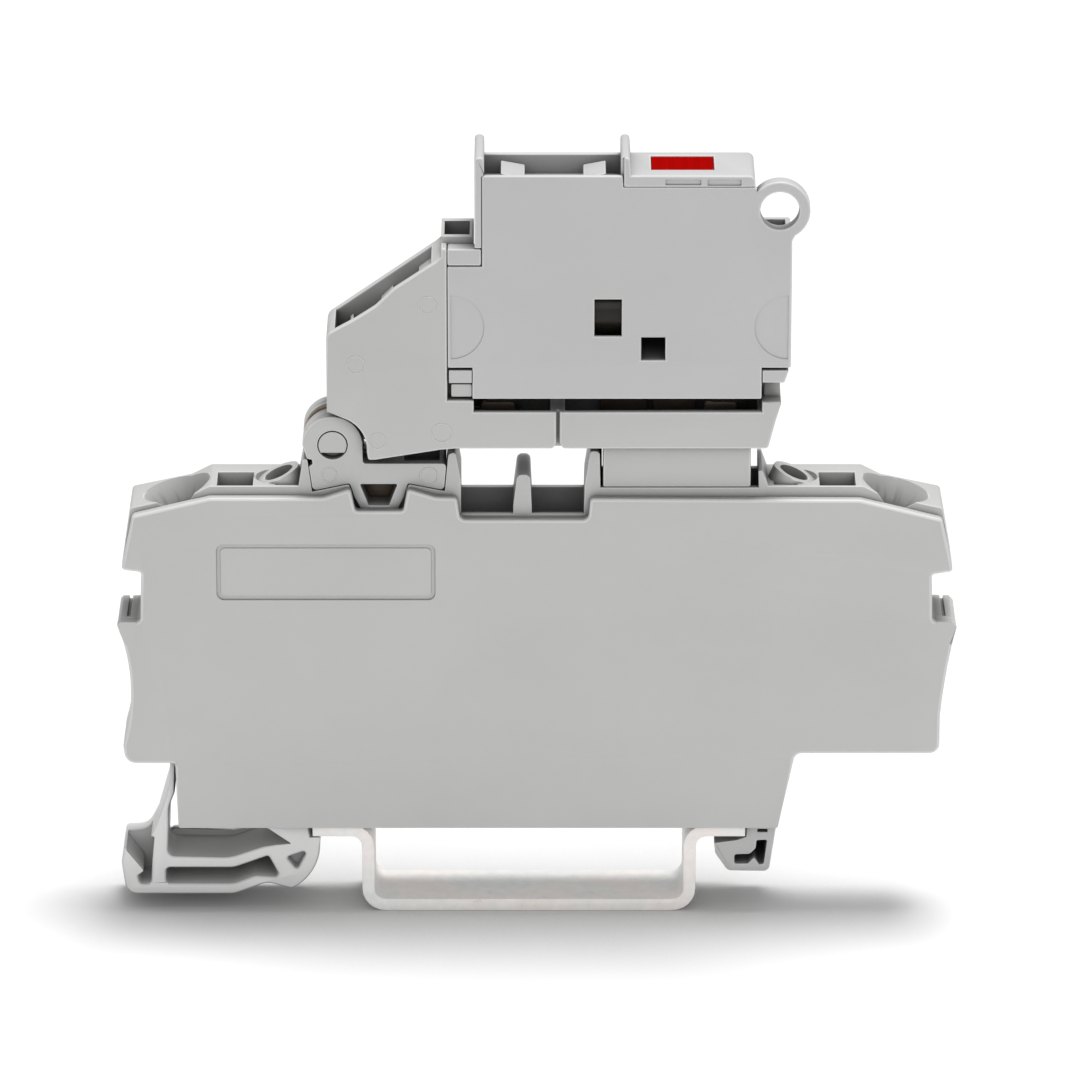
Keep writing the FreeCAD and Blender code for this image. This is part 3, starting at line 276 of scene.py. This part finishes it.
def cast_epoxy():
    """Milky pink lamp epoxy with a hot core."""
    material, tree, shader = new_material("lamp_epoxy")
    clouds = noise(tree, position(tree), 1.5, detail=3.0)
    milk = remap(tree, clouds, 0.3, 0.7, 0.0, 1.0)
    base = blend_colour(tree, milk, (0.80, 0.42, 0.38), (0.90, 0.62, 0.56))
    tree.links.new(base, shader.inputs["Base Color"])
    tree.links.new(remap(tree, clouds, 0.3, 0.7, 0.12, 0.25), shader.inputs["Roughness"])
    shader.inputs["Transmission Weight"].default_value = 0.5
    bump(tree, shader, [(clouds, 0.01)])
    return material


def chip_ceramic():
    """Black coated chip, tinned at its ends."""
    material, tree, shader = new_material("resistor_ceramic")
    place = position(tree)
    grain = noise(tree, place, 8.0, detail=3.0)
    pits = remap(tree, grain, 0.35, 0.65, 0.0, 1.0)
    base = blend_colour(tree, pits, (0.02, 0.02, 0.022), (0.05, 0.05, 0.055))
    tree.links.new(base, shader.inputs["Base Color"])
    tree.links.new(remap(tree, grain, 0.3, 0.7, 0.35, 0.55), shader.inputs["Roughness"])
    bump(tree, shader, [(grain, 0.01)])
    return material


# Each metal's colour, its stain's colour, roughness, and waves of grain per millimetre by axis
METALS = {
    "contact_copper": ((0.46, 0.37, 0.29), (0.30, 0.23, 0.17), 0.38, (0.4, 8.0, 8.0)),
    "contact_tinned": ((0.72, 0.70, 0.66), (0.55, 0.53, 0.50), 0.28, (0.4, 8.0, 8.0)),
    "spring_steel": ((0.62, 0.62, 0.63), (0.50, 0.49, 0.48), 0.22, (8.0, 0.4, 8.0)),
    "cap_nickel": ((0.80, 0.78, 0.73), (0.66, 0.62, 0.55), 0.16, (8.0, 0.6, 0.6)),
    "fuse_wire": ((0.75, 0.72, 0.66), (0.60, 0.56, 0.50), 0.25, (0.5, 9.0, 9.0)),
}
GREY = (0.505, 0.505, 0.500)
RIM_HIGHLIGHT_GREY = (0.62, 0.62, 0.615)  # paler grey of the rounded rims of the mouldings: a painted highlight
MATERIALS = {
    "housing_plastic": moulded_plastic("housing_plastic", GREY, 0.0),
    "carrier_plastic": moulded_plastic("carrier_plastic", GREY, 40.0),
    "plug_plastic": moulded_plastic("plug_plastic", (0.505, 0.507, 0.505), 80.0),
    **{name: metal(name, *look) for name, look in METALS.items()},
    "fuse_glass": fuse_glass(),
    "lens_red": red_lens(),
    "board_green": circuit_board(),
    "lamp_epoxy": cast_epoxy(),
    "resistor_ceramic": chip_ceramic(),
}
# The foot is the same moulding as the housing, given a lighter grey and weaker painted shade:
# painted light, a lit copy of the housing's grey.
FOOT_PAINTED_LIGHT = moulded_plastic("foot_plastic", (0.73, 0.73, 0.725), 160.0, shade=0.60)
# The rims' material: a paler copy of the moulding that paints the highlight of the rounded edges.
RIM_HIGHLIGHT = moulded_plastic("rim_painted_highlight", RIM_HIGHLIGHT_GREY, 120.0)
SLOT_OF = {part["node"]: part["material_slot"] for part in frame["record"]["subparts"]}
# Rounding of the moulded or stamped edges, in millimetres
ROUNDING = {
    "housing_plastic": 0.15,
    "carrier_plastic": 0.15,
    "plug_plastic": 0.12,
    "contact_copper": 0.06,
    "contact_tinned": 0.05,
    "spring_steel": 0.06,
    "cap_nickel": 0.12,
    "lens_red": 0.08,
    "board_green": 0.05,
    "resistor_ceramic": 0.06,
}
# The pieces whose rims differ from those of their material
RIM_OF = {"end_plate": 0.22, "hinge_bracket": 0.09, "hinge_pin": 0.0, "terminal_housing": 0.08}
FLATTER = math.radians(0.6)  # facets that turn less than this lie in one face
CREASE = math.radians(32)  # edges that turn more than this stay sharp
CORNER = math.radians(35)  # outer edges that turn more than this get a rim
MOST_AT_CORNER = 5  # how many of the edges that meet at a corner are looked at
ONE_LINE = 0.7  # two edges are one bent line if the cosine of their angle is over this
LEAST_TURN = 0.002  # in radians, so that a straight line has a finite radius
SPARE_SHARE = 0.45  # how much of a crosswise edge a rim may take up


def smooth_by_angle():
    """Geometry nodes that drop imported normals and shade smooth over all but the creases."""
    group = bpy.data.node_groups.new("smooth_by_angle", "GeometryNodeTree")
    group.interface.new_socket("Geometry", in_out="INPUT", socket_type="NodeSocketGeometry")
    group.interface.new_socket("Geometry", in_out="OUTPUT", socket_type="NodeSocketGeometry")
    start = group.nodes.new("NodeGroupInput")
    end = group.nodes.new("NodeGroupOutput")
    angle = group.nodes.new("GeometryNodeInputMeshEdgeAngle")
    sharp = group.nodes.new("FunctionNodeCompare")
    sharp.operation = "GREATER_THAN"
    sharp.inputs[1].default_value = CREASE
    normals = group.nodes.new("GeometryNodeSetMeshNormal")
    normals.mode = "SHARPNESS"
    normals.inputs["Remove Custom"].default_value = True
    normals.inputs["Face Sharpness"].default_value = False
    group.links.new(start.outputs[0], normals.inputs["Mesh"])
    group.links.new(angle.outputs["Unsigned Angle"], sharp.inputs[0])
    group.links.new(sharp.outputs[0], normals.inputs["Edge Sharpness"])
    group.links.new(normals.outputs[0], end.inputs[0])
    return group


def rim_weights(width):
    """Geometry nodes that mark the sharp outer edges with room for a rim: they run along Y or
    across it, the edges that meet them crosswise are long enough, and they don't turn tighter."""
    group = bpy.data.node_groups.new("rim_weights", "GeometryNodeTree")
    group.interface.new_socket("Geometry", in_out="INPUT", socket_type="NodeSocketGeometry")
    group.interface.new_socket("Geometry", in_out="OUTPUT", socket_type="NodeSocketGeometry")
    start = group.nodes.new("NodeGroupInput")
    end = group.nodes.new("NodeGroupOutput")

    def maths(operation, *values, kind="ShaderNodeMath"):
        node = group.nodes.new(kind)
        node.operation = operation
        for i, value in enumerate(values):
            if isinstance(value, bpy.types.NodeSocket):
                group.links.new(value, node.inputs[i])
            else:
                node.inputs[i].default_value = value
        output = "Value" if operation in ("LENGTH", "DOT_PRODUCT") else 0
        return node.outputs[output]

    def at_edge(value, index, data_type):
        node = group.nodes.new("GeometryNodeFieldAtIndex")
        node.domain = "EDGE"
        node.data_type = data_type
        group.links.new(value, node.inputs["Value"])
        group.links.new(index, node.inputs["Index"])
        return node.outputs[0]

    ends = group.nodes.new("GeometryNodeInputMeshEdgeVertices")
    vector = "ShaderNodeVectorMath"
    span = maths("SUBTRACT", ends.outputs["Position 2"], ends.outputs["Position 1"], kind=vector)
    length = maths("LENGTH", span, kind=vector)
    along = maths("NORMALIZE", span, kind=vector)
    limits = []
    for corner in ("Vertex Index 1", "Vertex Index 2"):
        for number in range(MOST_AT_CORNER):
            meeting = group.nodes.new("GeometryNodeEdgesOfVertex")
            group.links.new(ends.outputs[corner], meeting.inputs["Vertex Index"])
            meeting.inputs["Sort Index"].default_value = number
            index = meeting.outputs["Edge Index"]
            other = at_edge(length, index, "FLOAT")
            cosine = maths("DOT_PRODUCT", along, at_edge(along, index, "FLOAT_VECTOR"), kind=vector)
            cosine = maths("ABSOLUTE", cosine)
            turn = maths("ARCCOSINE", maths("MINIMUM", cosine, 1.0))
            turn = maths("MAXIMUM", turn, LEAST_TURN)
            bend = maths("DIVIDE", maths("MINIMUM", length, other), turn)
            crosswise = maths("LESS_THAN", cosine, ONE_LINE)
            straight = maths("MULTIPLY", maths("SUBTRACT", 1.0, crosswise), bend)
            spare = maths("MULTIPLY", other, SPARE_SHARE)
            limits.append(maths("MULTIPLY_ADD", crosswise, spare, straight))
    room = limits[0]
    for limit in limits[1:]:
        room = maths("MINIMUM", room, limit)
    angle = group.nodes.new("GeometryNodeInputMeshEdgeAngle")
    sharp = maths("GREATER_THAN", angle.outputs["Signed Angle"], CORNER)
    level = maths("ABSOLUTE", maths("DOT_PRODUCT", along, (0.0, 1.0, 0.0), kind=vector))
    square = maths("GREATER_THAN", maths("ABSOLUTE", maths("SUBTRACT", level, 0.5)), 0.46)
    roomy = maths("GREATER_THAN", room, width * MM)
    weight = maths("MULTIPLY", maths("MULTIPLY", sharp, square), roomy)
    store = group.nodes.new("GeometryNodeStoreNamedAttribute")
    store.domain = "EDGE"
    store.data_type = "FLOAT"
    store.inputs["Name"].default_value = "bevel_weight_edge"
    group.links.new(start.outputs[0], store.inputs["Geometry"])
    group.links.new(weight, store.inputs["Value"])
    group.links.new(store.outputs[0], end.inputs[0])
    return group


SMOOTH = smooth_by_angle()


def round_edges(obj, width, rim=-1):
    """Joins the facets of each flat face, rounds the sharp edges and shades the curves smooth.
    The rounded rims may take another material slot; for the mouldings it is the paler grey with the
    painted highlight."""
    weld = obj.modifiers.new("weld", "WELD")
    weld.merge_threshold = 0.0005 * MM
    flatten = obj.modifiers.new("flatten", "DECIMATE")
    flatten.decimate_type = "DISSOLVE"
    flatten.angle_limit = FLATTER
    if width:
        marks = obj.modifiers.new("marks", "NODES")
        marks.node_group = rim_weights(width)
        bevel = obj.modifiers.new("bevel", "BEVEL")
        bevel.width = width * MM
        bevel.segments = 3
        bevel.limit_method = "WEIGHT"
        bevel.use_clamp_overlap = False
        # The rims take the paler grey, a painted highlight.
        bevel.material = rim
    shade = obj.modifiers.new("shade", "NODES")
    shade.node_group = SMOOTH


for name, obj in NODES.items():
    slot = SLOT_OF[name]
    obj.data.materials.clear()
    # The foot takes its lighter copy of the grey, painted light.
    obj.data.materials.append(FOOT_PAINTED_LIGHT if name == "rail_foot" else MATERIALS[slot])
    moulded = slot.endswith("_plastic")
    if moulded:
        # Second slot: the paler rim grey, a painted highlight.
        obj.data.materials.append(RIM_HIGHLIGHT)
    round_edges(obj, RIM_OF.get(name, ROUNDING.get(slot, 0.0)), 1 if moulded else -1)


def closed_mesh(name, built):
    """An object made from a closed bmesh, which it uses up."""
    bmesh.ops.recalc_face_normals(built, faces=built.faces)
    mesh = bpy.data.meshes.new(name)
    built.to_mesh(mesh)
    built.free()
    obj = bpy.data.objects.new(name, mesh)
    bpy.context.collection.objects.link(obj)
    return obj


# ---------------------------------------------------------------- marks left by the mould
# Across and up the ridge of a mark, as shares of its width and height
RIDGE = [(-0.5, -0.02), (-0.3, 0.75), (0.0, 1.0), (0.3, 0.75), (0.5, -0.02)]
ROUND_STEPS = 48


def ejector_mark(name, body, centre, radius, width=0.10, height=0.035):
    """The faint ring that an ejector pin leaves: a low rounded ridge on a face that looks to -Y."""
    x, y, z = centre
    built = bmesh.new()
    loops = []
    for step in range(ROUND_STEPS):
        angle = math.tau * step / ROUND_STEPS
        loop = []
        for across, up in RIDGE:
            reach = radius + across * width
            spot = (x + reach * math.cos(angle), y - up * height, z + reach * math.sin(angle))
            loop.append(built.verts.new([c * MM for c in spot]))
        loops.append(loop)
    for near, far in zip(loops, loops[1:] + loops[:1]):
        for i in range(len(RIDGE)):
            j = (i + 1) % len(RIDGE)
            built.faces.new((near[i], near[j], far[j], far[i]))
    for face in built.faces:
        face.smooth = True
    obj = closed_mesh(name, built)
    # The ridge takes the paler rim grey, a painted highlight.
    obj.data.materials.append(RIM_HIGHLIGHT)
    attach(obj, body)


BRACKET_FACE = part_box("hinge_bracket")[0][1] / MM
ARM_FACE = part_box("carrier_frame")[0][1] / MM
# x, z and radius of each mark, in millimetres
BRACKET_MARKS = ((-15.9, 30.0, 0.60), (-7.95, 29.9, 0.70))
ARM_MARKS = ((-12.0, 33.2, 0.65), (-6.9, 33.9, 0.78), (-8.0, 44.6, 0.70), (-13.7, 39.6, 0.72))
for number, (x, z, radius) in enumerate(BRACKET_MARKS, start=1):
    centre = (x, BRACKET_FACE, z)
    ejector_mark("bracket_mark_%d" % number, "base", centre, radius)
for number, (x, z, radius) in enumerate(ARM_MARKS, start=1):
    ejector_mark("arm_mark_%d" % number, "carrier", (x, ARM_FACE, z), radius)


# ---------------------------------------------------------------- pieces of the stage
FLOOR_Z = -7.5


def extruded(name, outline, y_low, y_high):
    """A closed band of (x, z) points in millimetres, drawn out along Y."""
    built = bmesh.new()
    near = [built.verts.new((x * MM, y_low * MM, z * MM)) for x, z in outline]
    far = [built.verts.new((x * MM, y_high * MM, z * MM)) for x, z in outline]
    count = len(outline)
    for i in range(count):
        j = (i + 1) % count
        built.faces.new((near[i], near[j], far[j], far[i]))
    built.faces.new(list(reversed(near)))
    built.faces.new(far)
    return closed_mesh(name, built)


def rounded_path(points, radius, steps=6):
    """Corner points of an open path, each replaced by an arc of that radius."""
    path = [points[0]]
    for before, corner, after in zip(points, points[1:], points[2:]):
        a, b, c = Vector(before), Vector(corner), Vector(after)
        to_a, to_c = (a - b).normalized(), (c - b).normalized()
        half = to_a.angle(to_c) / 2
        reach = radius / math.tan(half)
        centre = b + (to_a + to_c).normalized() * (radius / math.sin(half))
        first, last = b + to_a * reach - centre, b + to_c * reach - centre
        turn = first.angle_signed(last)
        for i in range(steps + 1):
            angle = -turn * i / steps
            cosine, sine = math.cos(angle), math.sin(angle)
            x, z = first.x * cosine - first.y * sine, first.x * sine + first.y * cosine
            path.append(tuple(centre + Vector((x, z))))
    path.append(points[-1])
    return path


def thick_band(path, thick):
    """An outline round a path, half the thickness to each side."""
    left, right = [], []
    for i, point in enumerate(path):
        before = Vector(path[max(i - 1, 0)])
        after = Vector(path[min(i + 1, len(path) - 1)])
        along = (after - before).normalized()
        side = Vector((-along.y, along.x)) * thick / 2
        left.append(tuple(Vector(point) + side))
        right.append(tuple(Vector(point) - side))
    return left + right[::-1]


# Middle of the rail's wall, and its size in millimetres
RAIL = [(-17.5, -0.5), (-13.0, -0.5), (-13.0, -7.0), (13.0, -7.0), (13.0, -0.5), (17.5, -0.5)]
RAIL_BEND, RAIL_THICK = 1.4, 1.0
RAIL_ENDS = -2.5, 3.7
rail_outline = thick_band(rounded_path(RAIL, RAIL_BEND), RAIL_THICK)
rail = extruded("rail_prop", rail_outline, *RAIL_ENDS)
rail.data.materials.append(zinc())
round_edges(rail, 0.08)


def floor_paper():
    """White seamless paper with a faint tooth and a painted contact shadow where something stands
    close over it.
    """
    material, tree, shader = new_material("floor_paper")
    place = position(tree)
    tone = noise(tree, place, 0.02, detail=3.0)
    white = blend_colour(tree, tone, (0.86, 0.86, 0.86), (0.89, 0.89, 0.89))
    # Painted shadow: darker under the block, by ambient occlusion.
    under = remap(tree, crevice(tree, 16.0), 0.30, 0.94, 0.58, 0.0)
    shaded = blend_colour(tree, under, white, (0.22, 0.22, 0.22))
    tree.links.new(shaded, shader.inputs["Base Color"])
    shader.inputs["Roughness"].default_value = 0.9
    shader.inputs["Specular IOR Level"].default_value = 0.1
    bump(tree, shader, [(noise(tree, place, 2.0), 0.01)])
    return material


bpy.ops.mesh.primitive_plane_add(size=4.0, location=(0, 0, FLOOR_Z * MM))
floor = bpy.context.object
floor.name = "floor"
floor.data.materials.append(floor_paper())


# ---------------------------------------------------------------- camera and light
TARGET = Vector((0.9, 0.0, 23.68)) * MM
TILT = math.radians(20.5)
DISTANCE = 0.65
camera_data = bpy.data.cameras.new("camera")
camera_data.sensor_width = 36.0
camera_data.lens = 270.4
camera_data.clip_start = 0.01
camera = bpy.data.objects.new("camera", camera_data)
camera.location = TARGET + Vector((0, -math.cos(TILT), math.sin(TILT))) * DISTANCE
camera.rotation_euler = (math.pi / 2 - TILT, 0, 0)
bpy.context.collection.objects.link(camera)
bpy.context.scene.camera = camera


def softbox(name, place, size, watts):
    """A rectangular area light that faces the block, with its place and size in metres."""
    light = bpy.data.lights.new(name, "AREA")
    light.shape = "RECTANGLE"
    light.size, light.size_y = size
    light.energy = watts
    obj = bpy.data.objects.new(name, light)
    obj.location = place
    obj.rotation_euler = (TARGET - Vector(place)).to_track_quat("-Z", "Y").to_euler()
    bpy.context.collection.objects.link(obj)


softbox("key_above", (0.10, 0.09, 0.80), (0.32, 0.22), 5.2)
softbox("front_fill", (0.10, -0.95, 0.45), (1.2, 0.6), 3.0)
softbox("side_left", (-0.80, -0.2, 0.35), (0.5, 0.7), 0.3)

world = bpy.data.worlds.new("world")
world.use_nodes = True
sky = world.node_tree.nodes["Background"]
sky.inputs["Color"].default_value = (1.0, 1.0, 1.0, 1.0)
sky.inputs["Strength"].default_value = 0.45
bpy.context.scene.world = world
bpy.context.scene.view_settings.view_transform = "Standard"
